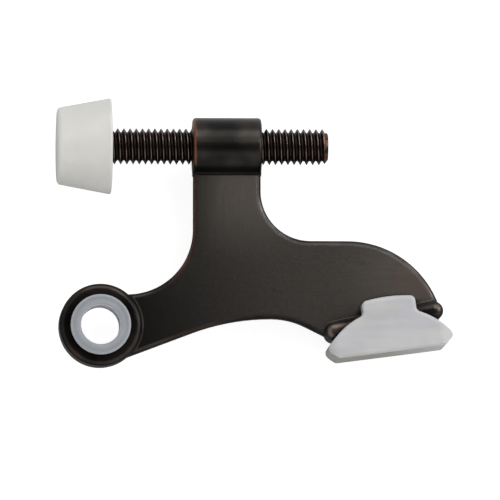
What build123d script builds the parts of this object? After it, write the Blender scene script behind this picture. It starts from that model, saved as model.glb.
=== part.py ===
from build123d import *
from math import acos, atan2, cos, degrees, radians, sin, tan
import os

# Hinge pin door stop, in millimetres.
# The origin is the middle of the hinge pin bore. +Z runs up the pin, +X along the
# adjusting screw away from the rubber bumper, and +Y from the pin towards the screw.
# The casting is symmetrical about the plane Z = 0, so it can be turned over for a
# door of the other hand.

# Overall sizes
overall_length = 63.26      # eye to the far end of the wall pad
pin_to_barrel_top = 33.7
screw_exposed = 35.0        # length that shows behind the bumper

# Eye and the nylon bush in it
eye_diameter = 13.3
eye_height = 6.2
eye_edge_radius = 0.9
bush_seat_diameter = 8.0
pin_bore_diameter = 6.35
bush_flange_diameter = 9.7
bush_flange_height = 1.0
bush_lead_in = 0.35
bush_edge_radius = 0.25

# Plate of the casting
plate_thickness = 3.4
plate_edge_radius = 0.8
root_radius = 0.45          # inside blend where the barrel meets the neck
blend_radius = 0.4          # of the plate into the eye and the foot
eye_step = 0.35             # the eye stands proud of the plate's lower edge
foot_step = 0.3             # and so does the foot
neck_left = 15.0
neck_right = 25.85
left_hollow_radius = 10.65
left_hollow_height = 15.7   # of the hollow's centre
left_hollow_end = -100.0    # degrees, inside the eye
right_hollow_radius = 8.0
tail_top = 13.79
tail_flat_end = 39.9
tail_radius = 15.65
crest_x = 27.6              # highest point of the lower edge
crest_y = 1.22
crest_radius_left = 36.0
crest_radius_right = 12.3

# Foot that the wall pad is pulled over
foot_thickness = 3.0
foot_depth = 8.4
foot_edge_radius = 1.2
foot_left_x = 37.7
foot_left_y = -1.02
foot_meets_tail = 17.3      # degrees round the tail's arc

# Threaded barrel
barrel_diameter = 9.3
barrel_overhang = 0.1       # past the neck at each end
barrel_edge_radius = 0.5
barrel_mouth = 0.3

# Adjusting screw
thread_diameter = 5.8
thread_pitch = 1.0
thread_angle = 60           # degrees between the flanks
thread_crest_share = 1 / 8  # flat of the crest over the pitch
thread_clearance = 0.15     # radial, in the barrel and in the rubber
screw_tip_length = 0.7
screw_tip_diameter = 4.2
head_diameter = 9.4
head_thickness = 2.2
head_clearance = 0.15

# Door bumper
bumper_gap = 13.15          # from the bumper's back to the barrel
bumper_length = 8.75
bumper_back_diameter = 15.6
bumper_nose_diameter = 12.3
bumper_nose_radius = 0.7
bumper_back_radius = 0.3
bumper_nose_wall = 3.0      # rubber in front of the screw's head

# Wall pad, in its own frame: u along the contact face and v away from the wall
pad_angle = 7.46            # degrees
pad_centre_y = -4.4
pad_length = 20.7
pad_depth = 12.6
pad_contact_length = 17.3
pad_dome_radius = 12.5
pad_dome_height = 7.05
pad_end_radius = 0.9
pad_edge_radius = 0.6
pad_corner_radius = 2.5
contact_chamfer = 0.4
tab_width = 8.65
tab_height = 8.95
tab_crown = 0.4
tab_shift = 0.4
tab_corner_radius = 0.9
pad_grip = 0.02             # between the pad and the foot inside it

# Worked out from the sizes above
eye_radius = eye_diameter / 2
half_eye = eye_height / 2
seat_radius = bush_seat_diameter / 2
bore_radius = pin_bore_diameter / 2
half_plate = plate_thickness / 2
barrel_radius = barrel_diameter / 2
screw_height = pin_to_barrel_top - barrel_radius
barrel_start = neck_left - barrel_overhang
barrel_end = neck_right + barrel_overhang
barrel_length = barrel_end - barrel_start
bumper_back = barrel_start - bumper_gap
bumper_nose = bumper_back - bumper_length
screw_end = bumper_back + screw_exposed
thread_radius = thread_diameter / 2
thread_bore_radius = thread_radius + thread_clearance
thread_crest = thread_pitch * thread_crest_share
flank_width = (thread_pitch - thread_crest) / 2
thread_root_radius = thread_radius - flank_width / tan(radians(thread_angle / 2))
head_front = bumper_nose + bumper_nose_wall
head_back = head_front + head_thickness
foot_radius = foot_thickness / 2
tail_centre = Vector(tail_flat_end, tail_top - tail_radius)
foot_left = Vector(foot_left_x, foot_left_y)

# The screw's parts are turned about +Z and then laid along +X
screw_place = Pos(0, screw_height, 0) * Rot(0, 90, 0)


def on_circle(centre, radius, angle):
    """Point at an angle in degrees on a circle."""
    return Vector(centre) + Vector(radius * cos(radians(angle)), radius * sin(radians(angle)))


def arc(centre, radius, start, end):
    """Arc from one angle to another, in degrees."""
    stops = [start, (start + end) / 2, end]
    return ThreePointArc([on_circle(centre, radius, stop) for stop in stops])


def angle_on(centre, point):
    """Angle in degrees of a point seen from a circle's centre."""
    return degrees(atan2(point.Y - centre.Y, point.X - centre.X))


def cross_tangent(above, above_radius, below, below_radius, turn):
    """Ends of the line that runs under one circle and over the other."""
    span = above - below
    lean = acos((above_radius + below_radius) / span.length)
    angle = atan2(span.Y, span.X) + turn * lean
    normal = Vector(cos(angle), sin(angle))
    return above - normal * above_radius, below + normal * below_radius


def turned(points, place):
    """Solid of revolution about +Z from (radius, height) points, then placed."""
    outline = make_face(Polyline([Vector(r, 0, z) for r, z in points], close=True))
    return place * revolve(outline, Axis.Z)


foot_right = on_circle(tail_centre, tail_radius + foot_step - foot_radius, foot_meets_tail)
foot_span = (foot_right - foot_left).length
foot_place = Pos((foot_left + foot_right) / 2) * Rot(0, 0, angle_on(foot_left, foot_right))


def plate_outline():
    """Outline of the flat plate between eye, barrel and foot."""
    left_hollow = Vector(neck_left - left_hollow_radius, left_hollow_height)
    right_hollow = Vector(neck_right + right_hollow_radius, tail_top + right_hollow_radius)
    crest_left = Vector(crest_x, crest_y - crest_radius_left)
    crest_right = Vector(crest_x, crest_y - crest_radius_right)
    eye_centre = Vector(0, 0)
    eye_touch, crest_start = cross_tangent(eye_centre, eye_radius - eye_step, crest_left, crest_radius_left, -1)
    foot_touch, crest_end = cross_tangent(foot_left, foot_radius - foot_step, crest_right, crest_radius_right, 1)
    eye_side = on_circle(left_hollow, left_hollow_radius, left_hollow_end)
    tail_side = on_circle(tail_centre, tail_radius, foot_meets_tail)
    neck_top_left = Vector(neck_left, screw_height)
    neck_top_right = Vector(neck_right, screw_height)
    edges = [
        Line(neck_top_left, on_circle(left_hollow, left_hollow_radius, 0)),
        arc(left_hollow, left_hollow_radius, 0, left_hollow_end),
        Polyline(eye_side, eye_centre, eye_touch, crest_start),
        arc(crest_left, crest_radius_left, angle_on(crest_left, crest_start), 90),
        arc(crest_right, crest_radius_right, 90, angle_on(crest_right, crest_end)),
        Polyline(crest_end, foot_touch, foot_left, foot_right, tail_side),
        arc(tail_centre, tail_radius, foot_meets_tail, 90),
        Line(on_circle(tail_centre, tail_radius, 90), on_circle(right_hollow, right_hollow_radius, 270)),
        arc(right_hollow, right_hollow_radius, 270, 180),
        Polyline(on_circle(right_hollow, right_hollow_radius, 180), neck_top_right, neck_top_left),
    ]
    return make_face(edges)


def plate():
    solid = extrude(plate_outline(), half_plate, both=True)
    rims = solid.edges().group_by(Axis.Z)
    return fillet(rims[0] + rims[-1], plate_edge_radius)


def eye():
    ring = Cylinder(eye_radius, eye_height)
    rims = ring.edges().group_by(Axis.Z)
    return fillet(rims[0] + rims[-1], eye_edge_radius)


def barrel():
    """Barrel along X with the blended root by which it stands on the neck."""
    drop = barrel_radius + root_radius / 4
    section = Circle(barrel_radius) + Pos(0, -drop / 2) * Rectangle(plate_thickness, drop)
    inside = [v for v in section.vertices() if -barrel_radius < v.Y < 0]
    section = fillet(inside, root_radius)
    start = Plane((barrel_start, screw_height, 0), x_dir=(0, 0, -1), z_dir=(1, 0, 0))
    solid = start * extrude(section, barrel_length)
    ends = solid.edges().group_by(Axis.X)
    floor = screw_height - drop
    rims = [edge for edge in ends[0] + ends[-1] if edge.center().Y > floor + root_radius / 8]
    return fillet(rims, barrel_edge_radius)


def foot(grow=0.0):
    """Rounded bar across the end of the tail, or its seat in the pad when grown."""
    bar = extrude(SlotCenterToCenter(foot_span, foot_thickness + 2 * grow), foot_depth / 2 + grow, both=True)
    rims = bar.edges().group_by(Axis.Z)
    return foot_place * fillet(rims[0] + rims[-1], foot_edge_radius)


def blended(body, boss, radius):
    """Body and boss in one, with a soft blend along the line where they meet."""
    joined = body + boss
    return fillet(new_edges(body, boss, combined=joined), radius)


def arm_casting():
    solid = blended(blended(plate(), eye(), blend_radius), foot(), blend_radius) + barrel()
    seat = Cylinder(seat_radius, eye_height)
    hole = turned([
        (0, barrel_start),
        (thread_bore_radius + barrel_mouth, barrel_start),
        (thread_bore_radius, barrel_start + barrel_mouth),
        (thread_bore_radius, barrel_end - barrel_mouth),
        (thread_bore_radius + barrel_mouth, barrel_end),
        (0, barrel_end),
    ], screw_place)
    return solid - seat - hole


def pin_bush():
    flange_radius = bush_flange_diameter / 2
    top = half_eye + bush_flange_height
    return turned([
        (bore_radius, -half_eye),
        (seat_radius, -half_eye),
        (seat_radius, half_eye),
        (flange_radius, half_eye),
        (flange_radius, top - bush_edge_radius),
        (flange_radius - bush_edge_radius, top),
        (bore_radius + bush_lead_in, top),
        (bore_radius, top - bush_lead_in),
    ], Pos(0, 0, 0))


def adjusting_screw():
    """Screw with a plain round head. Each turn of its thread is a ring of the thread's section."""
    thread_end = screw_end - screw_tip_length
    turns = int((thread_end - bumper_back) / thread_pitch) + 1
    outline = [
        (0, head_front),
        (head_diameter / 2, head_front),
        (head_diameter / 2, head_back),
        (thread_root_radius, head_back),
    ]
    for turn in range(turns):
        crest_end = thread_end - (turns - 1 - turn) * thread_pitch
        crest_start = crest_end - thread_crest
        outline += [
            (thread_root_radius, crest_start - flank_width),
            (thread_radius, crest_start),
            (thread_radius, crest_end),
        ]
    outline += [
        (screw_tip_diameter / 2, screw_end),
        (0, screw_end),
    ]
    return turned(outline, screw_place)


def door_bumper():
    cone = turned([
        (0, bumper_nose),
        (bumper_nose_diameter / 2, bumper_nose),
        (bumper_back_diameter / 2, bumper_back),
        (0, bumper_back),
    ], Pos(0, 0, 0))
    rims = cone.edges().filter_by(GeomType.CIRCLE).sort_by(Axis.Z)
    cone = fillet(rims[0], bumper_nose_radius)
    rims = cone.edges().filter_by(GeomType.CIRCLE).sort_by(Axis.Z)
    cone = fillet(rims[-1], bumper_back_radius)
    pocket_radius = head_diameter / 2 + head_clearance
    pocket = turned([
        (0, head_front - head_clearance),
        (pocket_radius, head_front - head_clearance),
        (pocket_radius, head_back + head_clearance),
        (thread_bore_radius, head_back + head_clearance),
        (thread_bore_radius, bumper_back),
        (0, bumper_back),
    ], Pos(0, 0, 0))
    return screw_place * (cone - pocket)


def pad_outline():
    """Front view of the pad: flat contact face, bevelled ends, domed back and the ears on it."""
    centre = Vector(0, pad_dome_height - pad_dome_radius)
    shoulder = degrees(acos(pad_length / 2 / pad_dome_radius))
    right = on_circle(centre, pad_dome_radius, shoulder)
    left = on_circle(centre, pad_dome_radius, 180 - shoulder)
    half_contact = pad_contact_length / 2
    body = make_face([
        Polyline(left, Vector(-half_contact, 0), Vector(half_contact, 0), right),
        arc(centre, pad_dome_radius, shoulder, 180 - shoulder),
    ])
    body = fillet(body.vertices(), pad_end_radius)
    half = tab_width / 2
    tab_foot = pad_dome_height / 2
    top = tab_height - tab_crown
    tab = make_face([
        Polyline(Vector(-half, top), Vector(-half, tab_foot), Vector(half, tab_foot), Vector(half, top)),
        ThreePointArc(Vector(half, top), Vector(0, tab_height), Vector(-half, top)),
    ])
    tab = Pos(tab_shift, 0) * fillet(tab.vertices().group_by(Axis.Y)[-1], tab_corner_radius)
    outline = body + tab
    corners = [point for point in outline.vertices() if abs(abs(point.X - tab_shift) - half) < tab_shift / 10]
    corners = [point for point in corners if point.Y < top - 2 * tab_corner_radius]
    return fillet(corners, tab_corner_radius)


def pad_side():
    """End view of the pad: full depth above the chamfer of the contact face."""
    half_depth = pad_depth / 2
    return make_face(Polyline([
        Vector(contact_chamfer - half_depth, 0),
        Vector(half_depth - contact_chamfer, 0),
        Vector(half_depth, contact_chamfer),
        Vector(half_depth, tab_height),
        Vector(-half_depth, tab_height),
        Vector(-half_depth, contact_chamfer),
    ], close=True))


def wall_pad():
    front = extrude(pad_outline(), pad_depth / 2, both=True)
    rims = front.edges().group_by(Axis.Z)
    front = fillet(rims[0] + rims[-1], pad_edge_radius)
    plan = Rot(90, 0, 0) * extrude(RectangleRounded(pad_length, pad_depth, pad_corner_radius), pad_length, both=True)
    side = Rot(0, 90, 0) * extrude(pad_side(), pad_length, both=True)
    loaf = front & plan & side
    tilt = Rot(0, 0, pad_angle)
    reach = (tilt * loaf).bounding_box().max.X
    place = Pos(overall_length - eye_radius - reach, pad_centre_y) * tilt
    body = place * loaf
    slot = extrude(plate_outline(), half_plate + pad_grip, both=True)
    return body - blended(slot, foot(pad_grip), blend_radius - pad_grip)


nodes = {
    "arm_casting": arm_casting(),
    "pin_bush": pin_bush(),
    "adjusting_screw": adjusting_screw(),
    "door_bumper": door_bumper(),
    "wall_pad": wall_pad(),
}

os.makedirs("parts", exist_ok=True)
for name, shape in nodes.items():
    export_step(shape, f"parts/{name}.step")
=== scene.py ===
import math

import bpy
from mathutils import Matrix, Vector

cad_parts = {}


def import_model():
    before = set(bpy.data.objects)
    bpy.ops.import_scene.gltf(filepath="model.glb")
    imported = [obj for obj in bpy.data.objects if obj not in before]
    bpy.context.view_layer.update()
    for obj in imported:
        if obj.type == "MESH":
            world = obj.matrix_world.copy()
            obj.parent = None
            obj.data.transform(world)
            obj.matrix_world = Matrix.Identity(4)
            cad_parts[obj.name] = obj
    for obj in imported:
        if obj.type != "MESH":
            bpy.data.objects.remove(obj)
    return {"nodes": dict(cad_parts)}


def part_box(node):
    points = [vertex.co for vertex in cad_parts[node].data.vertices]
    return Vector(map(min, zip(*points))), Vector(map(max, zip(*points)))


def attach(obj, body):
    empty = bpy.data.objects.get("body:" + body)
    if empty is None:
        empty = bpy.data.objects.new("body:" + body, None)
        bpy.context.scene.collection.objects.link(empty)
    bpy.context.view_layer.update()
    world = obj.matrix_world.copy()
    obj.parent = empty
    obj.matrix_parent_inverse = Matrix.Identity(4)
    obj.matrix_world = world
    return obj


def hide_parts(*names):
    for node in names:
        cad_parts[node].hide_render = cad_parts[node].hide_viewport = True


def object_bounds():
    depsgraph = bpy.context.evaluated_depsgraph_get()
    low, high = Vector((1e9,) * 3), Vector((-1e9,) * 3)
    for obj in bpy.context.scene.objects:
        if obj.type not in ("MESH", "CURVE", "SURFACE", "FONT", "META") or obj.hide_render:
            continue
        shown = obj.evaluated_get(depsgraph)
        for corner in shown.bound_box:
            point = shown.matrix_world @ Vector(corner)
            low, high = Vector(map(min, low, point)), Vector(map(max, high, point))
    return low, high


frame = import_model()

# Looks of the hinge pin door stop, in metres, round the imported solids.

cad_low, cad_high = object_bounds()
mm = 0.001

# Camera, looking down the hinge pin from a little below and to the left
view_distance = 2400 * mm
view_width = 80.6 * mm
view_centre = Vector((24.19 * mm, 12.37 * mm, 0.0))
view_from_below = math.radians(4.6)
view_from_left = math.radians(3.0)
view_reach = (0.01, 20.0)
sensor_width = 36.0

# Floor, lamps and sky
floor_radius = 3.0
floor_corners = 96
floor_drop = 0.05 * mm
floor_color = (0.50, 0.50, 0.50, 1)
floor_near = (0.22, 0.22, 0.22, 1)
floor_far = (0.75, 0.75, 0.75, 1)
far_side = (8 * mm, 30 * mm)
floor_glow = 0.78
key_lamp = {"place": (0.05, 0.42, 0.32), "size": (0.46, 0.24), "watts": 0.62}
side_lamp = {"place": (0.36, 0.10, 0.22), "size": (0.22, 0.22), "watts": 0.35}
sheen_lamp = {"place": (0.085, 0.10, 0.21), "size": (0.07, 0.05), "watts": 0.05}
sky_bright = 0.80
sky_dim = 1.0
sky_turns = (-0.6, 0.7)
hood_share = 0.06
hood_height = (0.86, 0.97)

# Adjusting screw, M6, with the shares of the pitch that its thread's flats take
pitch = 1.0 * mm
crest_radius = 2.9 * mm
thread_depth = 0.6134 * pitch
crest_flat = 1 / 8
crest_lean = 0.03
root_flat = 1 / 4
crest_round = 0.03 * mm
head_thickness = 2.2 * mm
tip_length = 0.7 * mm
tip_radius = 2.1 * mm
round_steps = 64
spare_turns = 4
smooth_angle = math.radians(32)

# Bronze
bronze_color = (0.047, 0.041, 0.036, 1)
bronze_light = (0.085, 0.076, 0.068, 1)
bronze_black = (0.010, 0.0095, 0.009, 1)
# Painted sheen: the plate paler on its neck and its tail.
bronze_sheen = (0.125, 0.110, 0.098, 1)
bronze_warm = (0.115, 0.080, 0.066, 1)
# Copper where the finish is rubbed through; along the plate's left edges and at the barrel's left end it is
# also a painted highlight.
copper_color = (0.36, 0.145, 0.085, 1)
copper_dark = (0.060, 0.021, 0.014, 1)
copper_line = (0.165, 0.066, 0.038, 1)
copper_brown = (0.19, 0.125, 0.095, 1)
# Painted highlight along the plate's upper right edges.
silver_highlight = (0.17, 0.16, 0.15, 1)
# Painted highlights on the foot's two ends, where the metal is also rubbed bare.
knob_highlight_color = (0.17, 0.135, 0.11, 1)
# Near black: a darker patina with painted shade towards the eye, and painted shade on the plate's left and
# under the barrel.
eye_black = (0.005, 0.0048, 0.0045, 1)
screw_color = (0.020, 0.014, 0.012, 1)
# Pale copper on the screw's crests: rubbed, and a painted highlight.
screw_copper = (0.22, 0.165, 0.145, 1)

# Features to the metre in the bronze
up_brushing = (7000, 260, 900)
along_brushing = (260, 7000, 900)
wear_marks = (420, 420, 900)
bronze_clouds = (160, 160, 160)
bronze_grain = (9000, 9000, 9000)
bronze_speckle = (2600, 2600, 2600)
bronze_pits = (1500, 1500, 1500)
copper_patches = (170, 170, 170)
screw_wear = (900, 900, 900)
screw_grain = (5000, 5000, 5000)

# Ranges over which the bronze changes. The first number is where a change starts and the
# second where it is full. Two more give its share at both ends.
on_plate_height = (2.4 * mm, 2.0 * mm)
off_plate_height = (2.2 * mm, 2.6 * mm, 0.0, 0.6)
knob_height = (2.4 * mm, 3.2 * mm)
below_barrel_y = (24.5 * mm, 24.1 * mm)
# Painted shade: the barrel's underside, where it meets the plate, goes near black.
under_barrel_shade_start_y = (24.1 * mm, 24.5 * mm)
under_barrel_shade_end_y = (26.4 * mm, 25.0 * mm, 0.0, 0.85)
# Copper at the barrel's left end: rubbed, and a painted highlight.
barrel_end_x = (15.55 * mm, 15.25 * mm)
barrel_end_y = (25.2 * mm, 26.0 * mm)
towards_tail_x = (23 * mm, 33 * mm)
# Painted shade on the left of the plate.
left_shade_x = (21.5 * mm, 15.5 * mm, 0.0, 0.5)
left_half_x = (22 * mm, 18 * mm)
rim_end_x = (10.5 * mm, 14.5 * mm, 0.15, 1.0)
rim_from_pin = (7.3 * mm, 8.0 * mm)
rub_and_highlight_from_pin = (7.0 * mm, 8.0 * mm, 0.3, 1.0)
shoulder_start = (5.5 * mm, 5.9 * mm)
shoulder_end = (6.75 * mm, 6.65 * mm)
shoulder_x = (2.0 * mm, -2.0 * mm, 0.2, 1.0)
linished_facing = (0.93, 0.995)
rim_facing = (0.988, 0.93)
outer_facing = (0.84, 0.66)
# Painted highlight along the plate's upper right edges.
highlight_outside = (0.55, 0.72)
highlight_inside = (0.995, 0.93)
shoulder_facing = (0.05, 0.40, 0.35, 1.0)
rim_below = (-0.5, -0.1, 0.3, 1.0)
highlight_above = (-0.05, 0.10)
highlight_right = (0.0, 0.45, 0.15, 1.0)
# Painted shade in creases and hollows, where little sky reaches.
crease_painted_shade = (0.80, 0.45)
rim_sky = (0.80, 0.93)
edge_sky = (0.7, 0.9)
edge_turn = (0.996, 0.95)
brush_contrast = (0.22, 0.80)
cloud_contrast = (0.28, 0.85)
pit_contrast = (0.73, 0.78)
wear_contrast = (0.40, 0.62)
patch_contrast = (0.36, 0.60, 0.40, 1.0)
shoulder_patches = (0.60, 1.0, 0.0, 0.22)
barrel_patches = (0.25, 1.0, 0.2, 0.75)
highlight_patchiness = (0.0, 1.0, 0.5, 0.9)
face_roughness = (0.3, 0.75, 0.46, 0.36)
cast_roughness = (0.3, 0.7, 0.25, 0.28)
screw_roughness = (0.0, 1.0, 0.34, 0.26)
# Pale copper on the crests, rubbed and a painted highlight.
crest_rub_and_highlight = (crest_radius - 0.05 * mm, crest_radius + 0.12 * mm)
tip_wear = (0.42, 0.58)
tip_rim = (1.2 * mm, 2.0 * mm, 0.15, 1.0)

# Places on the plate, as x, y, reach and strength: painted sheen on the neck and tail, a warm patch, patina
# and painted shade towards the eye, and painted highlights on the foot's two ends.
neck_sheen = (23.0 * mm, 21.0 * mm, 13.0 * mm, 0.8)
tail_sheen = (51.0 * mm, 6.5 * mm, 16.0 * mm, 0.8)
warm_patch = (51.5 * mm, 8.0 * mm, 6.5 * mm, 0.7)
# Black towards the eye: a darker patina near it, and painted shade reaching far over the plate.
eye_patina_and_shade = (-2.0 * mm, -2.0 * mm, 42.0 * mm, 1.0)
# Painted highlights on the foot's two ends, where the metal is also rubbed bare.
left_knob_highlight = (37.6 * mm, -1.0 * mm, 2.6 * mm, 0.8)
right_knob_highlight = (54.3 * mm, 3.0 * mm, 0.9 * mm, 0.8)

# Strengths and reaches in the bronze
bronze_metallic = 0.9
bronze_bump = 0.22
screw_metallic = 0.95
screw_bump = 0.15
streak_share = 0.6
rim_share = 0.95
outer_share = 0.8
rub_and_highlight_share = 0.7
pit_share = 0.35
grain_height = 0.3
pit_depth = 0.6
crease_reach = 1.6 * mm
crease_samples = 8
edge_softness = 0.35 * mm
edge_samples = 6
bump_depth = 0.02 * mm
screw_wear_depth = 0.25 * mm
tip_copper_length = 1.5 * tip_length
tip_copper_share = 0.5
noise_roughness = 0.55

# Rubber and nylon
rubber_white = (0.655, 0.649, 0.618, 1)
rubber_milk = (0.455, 0.458, 0.485, 1)
rubber_cream = (0.485, 0.48, 0.465, 1)
# Painted shade on the pad's sides, and painted light on them towards its far end.
rubber_side_shade = (0.365, 0.350, 0.330, 1)
rubber_end_lit = (0.57, 0.57, 0.565, 1)
rubber_clear = (0.53, 0.53, 0.525, 1)
nylon_color = (0.33, 0.345, 0.37, 1)
# Painted shade, a painted highlight and painted light on the bush's flange and bore.
nylon_dark = (0.235, 0.25, 0.27, 1)
nylon_highlight = (0.40, 0.415, 0.44, 1)
nylon_lit = (0.66, 0.67, 0.69, 1)
bumper_rubber = {
    "color": rubber_white,
    "roughness": 0.45,
    "glow": (0.25, 0.8 * mm),
    "grain": (0.12 * mm, 0.01 * mm),
}
pad_rubber = {
    "color": rubber_milk,
    "roughness": 0.52,
    "glow": (0.6, 1.5 * mm),
    "grain": (0.15 * mm, 0.01 * mm),
}
bush_nylon = {
    "color": nylon_color,
    "roughness": 0.34,
    "glow": (0.5, 1.0 * mm),
    "grain": (0.10 * mm, 0.008 * mm),
}
glow_tint = (1.0, 0.95, 0.9)
moulded_ior = 1.47
moulded_bump = 0.3
grain_contrast = (0.3, 0.7)
roughness_spread = 0.04
pad_bands = (50, 420, 50)
pad_tints = (110, 190, 110)
band_contrast = (0.42, 0.62, 0.0, 0.7)
tint_contrast = (0.38, 0.62)
# Painted shade on the pad's sides, and painted light on them towards its far end.
pad_side_shade_x = (43 * mm, 57 * mm)
pad_side_facing = (0.35, 0.05)
moulded_clouds = (220, 220, 220)
moulded_shade = (0.3, 0.7, 0.96, 1.03)
# Rings on the bush: painted shade over the edge of the eye's hole, a painted highlight at the flange's rim,
# painted light on the bore's wall.
flange_dark_from = (3.75 * mm, 4.25 * mm)
flange_dark_to = (4.65 * mm, 4.30 * mm, 0.0, 0.55)
flange_rim_highlight = (4.55 * mm, 4.80 * mm, 0.0, 0.7)
bore_wall = (3.24 * mm, 3.19 * mm)


def add(tree, kind, inputs=None, **settings):
    """Adds a shader node. An input is a plain value or another node's output."""
    made = tree.nodes.new("ShaderNode" + kind)
    for key, value in settings.items():
        setattr(made, key, value)
    for key, value in (inputs or {}).items():
        if isinstance(value, bpy.types.NodeSocket):
            tree.links.new(value, made.inputs[key])
        else:
            made.inputs[key].default_value = value
    return made


def material(name):
    """New material with an empty node tree, and its output node."""
    made = bpy.data.materials.new(name)
    made.use_nodes = True
    made.node_tree.nodes.clear()
    output = made.node_tree.nodes.new("ShaderNodeOutputMaterial")
    return made, made.node_tree, output


def math_node(tree, operation, first, second=0.5):
    return add(tree, "Math", {0: first, 1: second}, operation=operation).outputs[0]


def product(tree, first, *others):
    for other in others:
        first = math_node(tree, "MULTIPLY", first, other)
    return first


def ramp(tree, value, low, high, to_low=0.0, to_high=1.0):
    """Smooth step of a value from one bound to the other."""
    inputs = {"Value": value, "From Min": low, "From Max": high, "To Min": to_low, "To Max": to_high}
    return add(tree, "MapRange", inputs, interpolation_type="SMOOTHSTEP").outputs["Result"]


def blend_color(tree, share, first, second):
    return add(tree, "Mix", {"Factor": share, 6: first, 7: second}, data_type="RGBA").outputs[2]


def place_of(tree):
    return add(tree, "TexCoord").outputs["Object"]


def noise(tree, place, stretch, detail=3.0):
    """Noise with its own number of features to the metre along each axis."""
    scaled = add(tree, "VectorMath", {0: place, 1: stretch}, operation="MULTIPLY").outputs[0]
    inputs = {"Vector": scaled, "Scale": 1.0, "Detail": detail, "Roughness": noise_roughness}
    return add(tree, "TexNoise", inputs).outputs["Fac"]


def parts_of(tree, vector):
    split = add(tree, "SeparateXYZ", {"Vector": vector})
    return split.outputs["X"], split.outputs["Y"], split.outputs["Z"]


def length_of(tree, vector):
    return add(tree, "VectorMath", {0: vector}, operation="LENGTH").outputs["Value"]


def laid_flat(tree, place):
    return add(tree, "VectorMath", {0: place, 1: (1, 1, 0)}, operation="MULTIPLY").outputs[0]


def near(tree, place, x, y, reach, strength):
    """Share that falls from its strength at a point of the plate to 0 at a distance from it."""
    inputs = {0: laid_flat(tree, place), 1: (x, y, 0)}
    away = add(tree, "VectorMath", inputs, operation="DISTANCE").outputs["Value"]
    return ramp(tree, away, reach, 0.0, 0.0, strength)


class Spot:
    """What the bronze goes by at a point: where it lies, which way it faces and how open it is."""

    def __init__(self, tree):
        self.place = place_of(tree)
        self.x, self.y, z = parts_of(tree, self.place)
        self.from_pin = length_of(tree, laid_flat(tree, self.place))
        self.off_middle = math_node(tree, "ABSOLUTE", z)
        self.normal = add(tree, "NewGeometry").outputs["Normal"]
        self.side_x, self.side_y, up = parts_of(tree, self.normal)
        self.facing = math_node(tree, "ABSOLUTE", up)
        soft = add(tree, "Bevel", {"Radius": edge_softness}, samples=edge_samples)
        self.soft_normal = soft.outputs["Normal"]
        sky = add(tree, "AmbientOcclusion", {"Distance": crease_reach}, samples=crease_samples)
        self.open_sky = sky.outputs["AO"]
        below_barrel = ramp(tree, self.y, *below_barrel_y)
        self.on_plate = product(tree, ramp(tree, self.off_middle, *on_plate_height), below_barrel)
        self.patches = ramp(tree, noise(tree, self.place, copper_patches), *patch_contrast)


def plate_face(tree, spot, streaks):
    """Linished plate: brushed, paler with painted sheen on the neck and the tail, black towards the eye with
    a darker patina and painted shade, and in painted shade towards the left.
    """
    speckle = noise(tree, spot.place, bronze_speckle)
    streaks = product(tree, streaks, streak_share)
    brushed = math_node(tree, "ADD", streaks, product(tree, speckle, 1 - streak_share))
    color = blend_color(tree, ramp(tree, brushed, *brush_contrast), bronze_color, bronze_light)
    # Painted sheen on the neck and the tail.
    neck = near(tree, spot.place, *neck_sheen)
    tail = near(tree, spot.place, *tail_sheen)
    color = blend_color(tree, math_node(tree, "MAXIMUM", neck, tail), color, bronze_sheen)
    color = blend_color(tree, near(tree, spot.place, *warm_patch), color, bronze_warm)
    # Towards the eye a darker patina with painted shade, towards the left painted shade.
    towards_eye = near(tree, spot.place, *eye_patina_and_shade)
    left_shade = ramp(tree, spot.x, *left_shade_x)
    return blend_color(tree, math_node(tree, "MAXIMUM", towards_eye, left_shade), color, eye_black)


def cast_skin(tree, spot, clouds):
    """Eye, barrel and foot: darker than the plate, and painted shade, near black, on the barrel's underside
    where it meets the plate.
    """
    color = blend_color(tree, ramp(tree, clouds, *cloud_contrast), bronze_black, bronze_color)
    # Painted shade on the barrel's underside next to the plate.
    under_barrel_shade = product(tree, ramp(tree, spot.y, *under_barrel_shade_end_y), ramp(tree, spot.y, *under_barrel_shade_start_y))
    return blend_color(tree, under_barrel_shade, color, eye_black)


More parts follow.
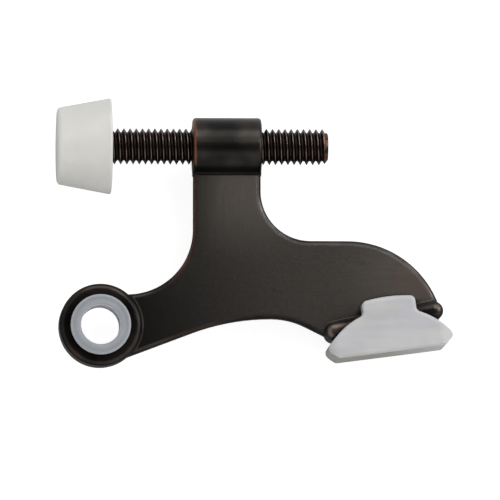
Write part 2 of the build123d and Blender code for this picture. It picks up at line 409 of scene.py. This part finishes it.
def rubbed_and_highlit_edges(tree, spot, color):
    """Copper where hands and doors have rubbed the dark finish through; on the plate only along its left
    edges, where it is also a painted highlight. Pale silver along the plate's upper right edges is a painted
    highlight.
    """
    left_half = ramp(tree, spot.x, *left_half_x)
    plate_edge = product(tree, spot.on_plate, ramp(tree, spot.open_sky, *rim_sky))
    rim = product(
        tree,
        plate_edge,
        ramp(tree, spot.facing, *rim_facing),
        ramp(tree, spot.from_pin, *rim_from_pin),
        ramp(tree, spot.side_y, *rim_below),
        ramp(tree, spot.x, *rim_end_x),
        left_half,
        spot.patches,
    )
    color = blend_color(tree, product(tree, rim, rim_share), color, copper_dark)
    # Brighter copper at the outer edge: rubbed, and a painted highlight.
    outer = product(tree, rim, ramp(tree, spot.facing, *outer_facing), outer_share)
    color = blend_color(tree, outer, color, copper_brown)

    wear = ramp(tree, noise(tree, spot.place, wear_marks, detail=4.0), *wear_contrast)
    inputs = {0: spot.soft_normal, 1: spot.normal}
    turned = add(tree, "VectorMath", inputs, operation="DOT_PRODUCT").outputs["Value"]
    # Copper on sharp edges: rubbed, and on the plate, where only its left half gets it, also a painted
    # highlight.
    rub_and_highlight = product(
        tree,
        wear,
        ramp(tree, turned, *edge_turn),
        ramp(tree, spot.open_sky, *edge_sky),
        math_node(tree, "MAXIMUM", left_half, ramp(tree, spot.off_middle, *off_plate_height)),
        ramp(tree, spot.from_pin, *rub_and_highlight_from_pin),
        rub_and_highlight_share,
    )
    color = blend_color(tree, rub_and_highlight, color, copper_color)

    # Painted highlight: pale silver along the plate's upper right edges.
    edge_highlight = product(
        tree,
        ramp(tree, spot.facing, *highlight_outside),
        ramp(tree, spot.facing, *highlight_inside),
        plate_edge,
        spot.patches,
        ramp(tree, spot.side_y, *highlight_above),
        ramp(tree, spot.side_x, *highlight_right),
        math_node(tree, "SUBTRACT", 1.0, left_half),
        ramp(tree, wear, *highlight_patchiness),
    )
    return blend_color(tree, edge_highlight, color, silver_highlight)


def rubbed_and_highlit_spots(tree, spot, color):
    """Copper on the eye's shoulder, copper at the barrel's end that is rubbed and also a painted highlight,
    and painted highlights on the foot's two ends, where the metal is also rubbed bare.
    """
    shoulder = product(
        tree,
        ramp(tree, spot.from_pin, *shoulder_start),
        ramp(tree, spot.from_pin, *shoulder_end),
        ramp(tree, spot.patches, *shoulder_patches),
        ramp(tree, spot.facing, *shoulder_facing),
        ramp(tree, spot.x, *shoulder_x),
    )
    color = blend_color(tree, shoulder, color, copper_dark)
    # Copper at the barrel's left end: rubbed, and a painted highlight.
    barrel_end = product(
        tree,
        ramp(tree, spot.x, *barrel_end_x),
        ramp(tree, spot.y, *barrel_end_y),
        ramp(tree, spot.patches, *barrel_patches),
    )
    color = blend_color(tree, barrel_end, color, copper_line)
    # Painted highlights on the foot's two ends, where the metal is also rubbed bare.
    for knob in (left_knob_highlight, right_knob_highlight):
        knob_highlight = product(tree, near(tree, spot.place, *knob), ramp(tree, spot.off_middle, *knob_height))
        color = blend_color(tree, knob_highlight, color, knob_highlight_color)
    return color


def bronze():
    """Oil rubbed bronze: dark brown, linished faces, copper where edges are rubbed, with painted sheen,
    painted shade and painted highlights.
    """
    made, tree, output = material("oil_rubbed_bronze")
    spot = Spot(tree)
    linished = product(tree, ramp(tree, spot.facing, *linished_facing), spot.on_plate)
    streaks = add(tree, "Mix", {
        "Factor": ramp(tree, spot.x, *towards_tail_x),
        2: noise(tree, spot.place, up_brushing, detail=4.0),
        3: noise(tree, spot.place, along_brushing, detail=4.0),
    }).outputs[0]
    clouds = noise(tree, spot.place, bronze_clouds, detail=2.0)
    grain = noise(tree, spot.place, bronze_grain, detail=2.0)
    pits = ramp(tree, noise(tree, spot.place, bronze_pits, detail=1.0), *pit_contrast)

    color = blend_color(tree, linished, cast_skin(tree, spot, clouds), plate_face(tree, spot, streaks))
    color = rubbed_and_highlit_edges(tree, spot, color)
    color = rubbed_and_highlit_spots(tree, spot, color)
    color = blend_color(tree, product(tree, pits, pit_share), color, bronze_black)
    # Painted shade: creases and hollows, where little sky reaches, go near black.
    color = blend_color(tree, ramp(tree, spot.open_sky, *crease_painted_shade), color, bronze_black)

    rough_face = ramp(tree, streaks, *face_roughness)
    rough_cast = ramp(tree, clouds, *cast_roughness)
    rough = add(tree, "Mix", {"Factor": linished, 2: rough_cast, 3: rough_face}).outputs[0]
    height = math_node(tree, "ADD", product(tree, streaks, linished), product(tree, grain, grain_height))
    height = math_node(tree, "SUBTRACT", height, product(tree, pits, pit_depth))
    inputs = {"Height": height, "Strength": bronze_bump, "Distance": bump_depth, "Normal": spot.soft_normal}
    shader = add(tree, "BsdfPrincipled", {
        "Base Color": color,
        "Metallic": bronze_metallic,
        "Roughness": rough,
        "Normal": add(tree, "Bump", inputs).outputs["Normal"],
    })
    tree.links.new(shader.outputs[0], output.inputs["Surface"])
    return made


def screw_bronze():
    """Dark bronze in the thread's grooves, copper rubbed bright on crests and tip; on the crests it is also
    a painted highlight.
    """
    made, tree, output = material("screw_bronze")
    low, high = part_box("adjusting_screw")
    axis_height = (low.y + high.y) / 2
    place = place_of(tree)
    x, y, z = parts_of(tree, place)
    from_axis = add(tree, "CombineXYZ", {"X": 0.0, "Y": math_node(tree, "SUBTRACT", y, axis_height), "Z": z})
    wear = noise(tree, place, screw_wear)
    radius = length_of(tree, from_axis.outputs[0])
    worn_radius = math_node(tree, "ADD", radius, product(tree, wear, screw_wear_depth))
    # Pale copper on the crests: rubbed, and a painted highlight.
    crest = ramp(tree, worn_radius, *crest_rub_and_highlight)
    tip = ramp(tree, x, high.x - tip_copper_length, high.x - tip_length, 0.0, tip_copper_share)
    tip = product(tree, tip, ramp(tree, wear, *tip_wear), ramp(tree, radius, *tip_rim))
    color = blend_color(tree, crest, screw_color, screw_copper)
    color = blend_color(tree, tip, color, copper_color)
    grain = noise(tree, place, screw_grain, detail=2.0)
    normal = add(tree, "Bump", {"Height": grain, "Strength": screw_bump, "Distance": bump_depth})
    shader = add(tree, "BsdfPrincipled", {
        "Base Color": color,
        "Metallic": screw_metallic,
        "Roughness": ramp(tree, math_node(tree, "MAXIMUM", crest, tip), *screw_roughness),
        "Normal": normal.outputs["Normal"],
    })
    tree.links.new(shader.outputs[0], output.inputs["Surface"])
    return made


def plain_tone(tree, place, color):
    return color


def pad_tone(tree, place, color):
    """Rubber pad: its sides greyer than its two faces with painted shade, and paler towards its far end with
    painted light.
    """
    up = math_node(tree, "ABSOLUTE", parts_of(tree, add(tree, "NewGeometry").outputs["Normal"])[2])
    bands = noise(tree, place, pad_bands, detail=2.0)
    tints = noise(tree, place, pad_tints, detail=1.0)
    face = blend_color(tree, ramp(tree, tints, *tint_contrast), color, rubber_cream)
    face = blend_color(tree, ramp(tree, bands, *band_contrast), face, rubber_clear)
    # Painted shade on the sides, painted light on them towards the far end.
    side = blend_color(tree, ramp(tree, parts_of(tree, place)[0], *pad_side_shade_x), rubber_side_shade, rubber_end_lit)
    return blend_color(tree, ramp(tree, up, *pad_side_facing), face, side)


def flange_tone(tree, place, color):
    """Nylon flange: painted shade in a ring over the edge of the eye's hole, a painted highlight at its own
    rim, and painted light in the bore.
    """
    radius = length_of(tree, laid_flat(tree, place))
    shadow = product(tree, ramp(tree, radius, *flange_dark_from), ramp(tree, radius, *flange_dark_to))
    tone = blend_color(tree, shadow, color, nylon_dark)
    tone = blend_color(tree, ramp(tree, radius, *flange_rim_highlight), tone, nylon_highlight)
    return blend_color(tree, ramp(tree, radius, *bore_wall), tone, nylon_lit)


def moulded(name, tone_of, color, roughness, glow, grain):
    """Moulded rubber or nylon: light sinks in a little, and the skin has a fine grain."""
    made, tree, output = material(name)
    glow_weight, glow_depth = glow
    grain_size, grain_depth = grain
    place = place_of(tree)
    grains = noise(tree, place, (1 / grain_size, 1 / grain_size, 1 / grain_size))
    shade = ramp(tree, noise(tree, place, moulded_clouds, detail=2.0), *moulded_shade)
    base = blend_color(tree, 0.0, color, color)
    tone = add(tree, "VectorMath", {0: tone_of(tree, place, base), "Scale": shade}, operation="SCALE")
    normal = add(tree, "Bump", {"Height": grains, "Strength": moulded_bump, "Distance": grain_depth})
    smooth = roughness - roughness_spread
    rough = roughness + roughness_spread
    shader = add(tree, "BsdfPrincipled", {
        "Base Color": tone.outputs[0],
        "Roughness": ramp(tree, grains, *grain_contrast, smooth, rough),
        "Subsurface Weight": glow_weight,
        "Subsurface Radius": glow_tint,
        "Subsurface Scale": glow_depth,
        "IOR": moulded_ior,
        "Normal": normal.outputs["Normal"],
    })
    tree.links.new(shader.outputs[0], output.inputs["Surface"])
    return made


def mesh_object(name, points, faces):
    mesh = bpy.data.meshes.new(name)
    mesh.from_pydata(points, [], faces)
    mesh.update()
    made = bpy.data.objects.new(name, mesh)
    bpy.context.scene.collection.objects.link(made)
    return made


def lathe(name, outline, axis_height):
    """Closed solid of revolution about the screw's axis from (x, radius) points off the axis."""
    points = []
    faces = []
    for x, radius in outline:
        for step in range(round_steps):
            angle = 2 * math.pi * (step + 0.5) / round_steps
            points.append((x, axis_height + radius * math.cos(angle), radius * math.sin(angle)))
    for row in range(len(outline) - 1):
        for step in range(round_steps):
            here = row * round_steps + step
            beside = row * round_steps + (step + 1) % round_steps
            faces.append((here, beside, beside + round_steps, here + round_steps))
    last = (len(outline) - 1) * round_steps
    faces.append(tuple(reversed(range(round_steps))))
    faces.append(tuple(range(last, last + round_steps)))
    return mesh_object(name, points, faces)


def thread_profile():
    """One turn of the thread as (share of the pitch, radius), from crest to root."""
    root_radius = crest_radius - thread_depth
    root_start = crest_flat + (1 - crest_flat - root_flat) / 2
    root_lean = root_flat / 4
    return [
        (0.0, crest_radius - crest_round),
        (crest_lean, crest_radius),
        (crest_flat - crest_lean, crest_radius),
        (crest_flat, crest_radius - crest_round),
        (root_start, root_radius + crest_round),
        (root_start + root_lean, root_radius),
        (root_start + root_flat - root_lean, root_radius),
        (root_start + root_flat, root_radius + crest_round),
    ]


def helix(name, start, turns, axis_height):
    """Right-hand thread, a few turns longer than is needed, closed by a fan at each end."""
    profile = thread_profile()
    rows = [(turn + share, radius) for turn in range(turns) for share, radius in profile]
    points = []
    for share, radius in rows:
        for step in range(round_steps):
            part = step / round_steps
            angle = 2 * math.pi * part
            x = start + pitch * (share + part)
            points.append((x, axis_height + radius * math.cos(angle), radius * math.sin(angle)))
    faces = []
    turn_rows = len(profile)
    top = len(rows) - 1 - turn_rows
    for row in range(top):
        for step in range(round_steps):
            here = row * round_steps + step
            last = step == round_steps - 1
            beside = (row + turn_rows) * round_steps if last else here + 1
            faces.append((here, beside, beside + round_steps, here + round_steps))
    first_loop = list(range(round_steps)) + [row * round_steps for row in range(turn_rows, 0, -1)]
    last_loop = [top * round_steps + here for here in first_loop]
    for loop, x in ((first_loop, start - pitch), (last_loop, start + pitch * (turns + 1))):
        points.append((x, axis_height, 0.0))
        centre = len(points) - 1
        for here, beside in zip(loop, loop[1:] + loop[:1]):
            faces.append((centre, beside, here) if loop is first_loop else (centre, here, beside))
    return mesh_object(name, points, faces)


def combine(first, second, operation):
    """Applies a boolean of the second object to the first and removes the second."""
    change = first.modifiers.new("combine", "BOOLEAN")
    change.object = second
    change.operation = operation
    change.solver = "EXACT"
    graph = bpy.context.evaluated_depsgraph_get()
    result = bpy.data.meshes.new_from_object(first.evaluated_get(graph))
    first.modifiers.clear()
    first.data = result
    bpy.data.objects.remove(second)


def screw(finish):
    """Adjusting screw with its real helical thread, in place of the solid with plain rings."""
    low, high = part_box("adjusting_screw")
    axis_height = (low.y + high.y) / 2
    head_radius = (high.z - low.z) / 2
    head_back = low.x + head_thickness
    root_radius = crest_radius - thread_depth
    neck_radius = root_radius - crest_round
    thread_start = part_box("door_bumper")[1].x - pitch
    turns = int((high.x - thread_start) / pitch) + spare_turns
    thread = helix("screw", thread_start - 2 * pitch, turns, axis_height)
    keep = lathe("keep", [
        (thread_start, root_radius),
        (thread_start + thread_depth, crest_radius + crest_round),
        (high.x - tip_length, crest_radius + crest_round),
        (high.x, tip_radius),
    ], axis_height)
    combine(thread, keep, "INTERSECT")
    head = lathe("head", [
        (low.x, head_radius),
        (head_back, head_radius),
        (head_back, neck_radius),
        (thread_start + pitch, neck_radius),
    ], axis_height)
    combine(thread, head, "UNION")
    for face in thread.data.polygons:
        face.use_smooth = True
    thread.data.set_sharp_from_angle(angle=smooth_angle)
    thread.data.materials.clear()
    thread.data.materials.append(finish)
    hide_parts("adjusting_screw")
    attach(thread, "screw")


def dress(node, finish):
    """Gives a CAD node its finish."""
    piece = frame["nodes"][node]
    piece.data.materials.clear()
    piece.data.materials.append(finish)


def floor():
    """Round floor, white to the camera and grey in reflections, paler behind the barrel."""
    made, tree, output = material("floor")
    path = add(tree, "LightPath").outputs
    seen = math_node(tree, "MAXIMUM", path["Is Camera Ray"], path["Is Transmission Ray"])
    far = ramp(tree, parts_of(tree, place_of(tree))[1], *far_side)
    reflected = blend_color(tree, far, floor_near, floor_far)
    shade = blend_color(tree, path["Is Glossy Ray"], floor_color, reflected)
    plain = add(tree, "BsdfDiffuse", {"Color": shade})
    glow = add(tree, "Emission", {"Color": (1, 1, 1, 1), "Strength": floor_glow})
    both = add(tree, "AddShader", {0: plain.outputs[0], 1: glow.outputs[0]})
    mix = add(tree, "MixShader", {0: seen, 1: plain.outputs[0], 2: both.outputs[0]})
    tree.links.new(mix.outputs[0], output.inputs["Surface"])
    bpy.ops.mesh.primitive_circle_add(vertices=floor_corners, radius=floor_radius, fill_type="NGON")
    disc = bpy.context.object
    disc.name = "floor"
    disc.location = (view_centre.x, view_centre.y, cad_low.z - floor_drop)
    disc.data.materials.append(made)


def lamp(name, place, size, watts):
    data = bpy.data.lights.new(name, "AREA")
    data.shape = "RECTANGLE"
    data.size, data.size_y = size
    data.energy = watts
    made = bpy.data.objects.new(name, data)
    bpy.context.scene.collection.objects.link(made)
    made.location = place
    aim = view_centre - Vector(place)
    made.rotation_euler = aim.to_track_quat("-Z", "Y").to_euler()


def world():
    """Studio tent, a little dimmer behind the barrel than on the other side, and dark overhead."""
    made = bpy.data.worlds.new("studio")
    bpy.context.scene.world = made
    made.use_nodes = True
    tree = made.node_tree
    tree.nodes.clear()
    x, y, z = parts_of(tree, add(tree, "TexCoord").outputs["Generated"])
    side = ramp(tree, y, *sky_turns, sky_dim, sky_bright)
    hood = ramp(tree, z, *hood_height, 1.0, hood_share)
    background = add(tree, "Background", {"Color": (1, 1, 1, 1), "Strength": product(tree, side, hood)})
    output = tree.nodes.new("ShaderNodeOutputWorld")
    tree.links.new(background.outputs[0], output.inputs["Surface"])


def camera():
    data = bpy.data.cameras.new("camera")
    data.sensor_width = sensor_width
    data.lens = sensor_width * view_distance / view_width
    data.clip_start, data.clip_end = view_reach
    made = bpy.data.objects.new("camera", data)
    made.rotation_euler = (view_from_below, -view_from_left, 0.0)
    made.location = view_centre + made.rotation_euler.to_matrix() @ Vector((0, 0, view_distance))
    bpy.context.scene.collection.objects.link(made)
    bpy.context.scene.camera = made


bpy.context.scene.view_settings.view_transform = "Standard"

dress("arm_casting", bronze())
screw(screw_bronze())
dress("door_bumper", moulded("white_rubber", plain_tone, **bumper_rubber))
dress("wall_pad", moulded("milky_rubber", pad_tone, **pad_rubber))
dress("pin_bush", moulded("nylon", flange_tone, **bush_nylon))

floor()
world()
lamp("key", **key_lamp)
lamp("side", **side_lamp)
lamp("sheen", **sheen_lamp)
camera()
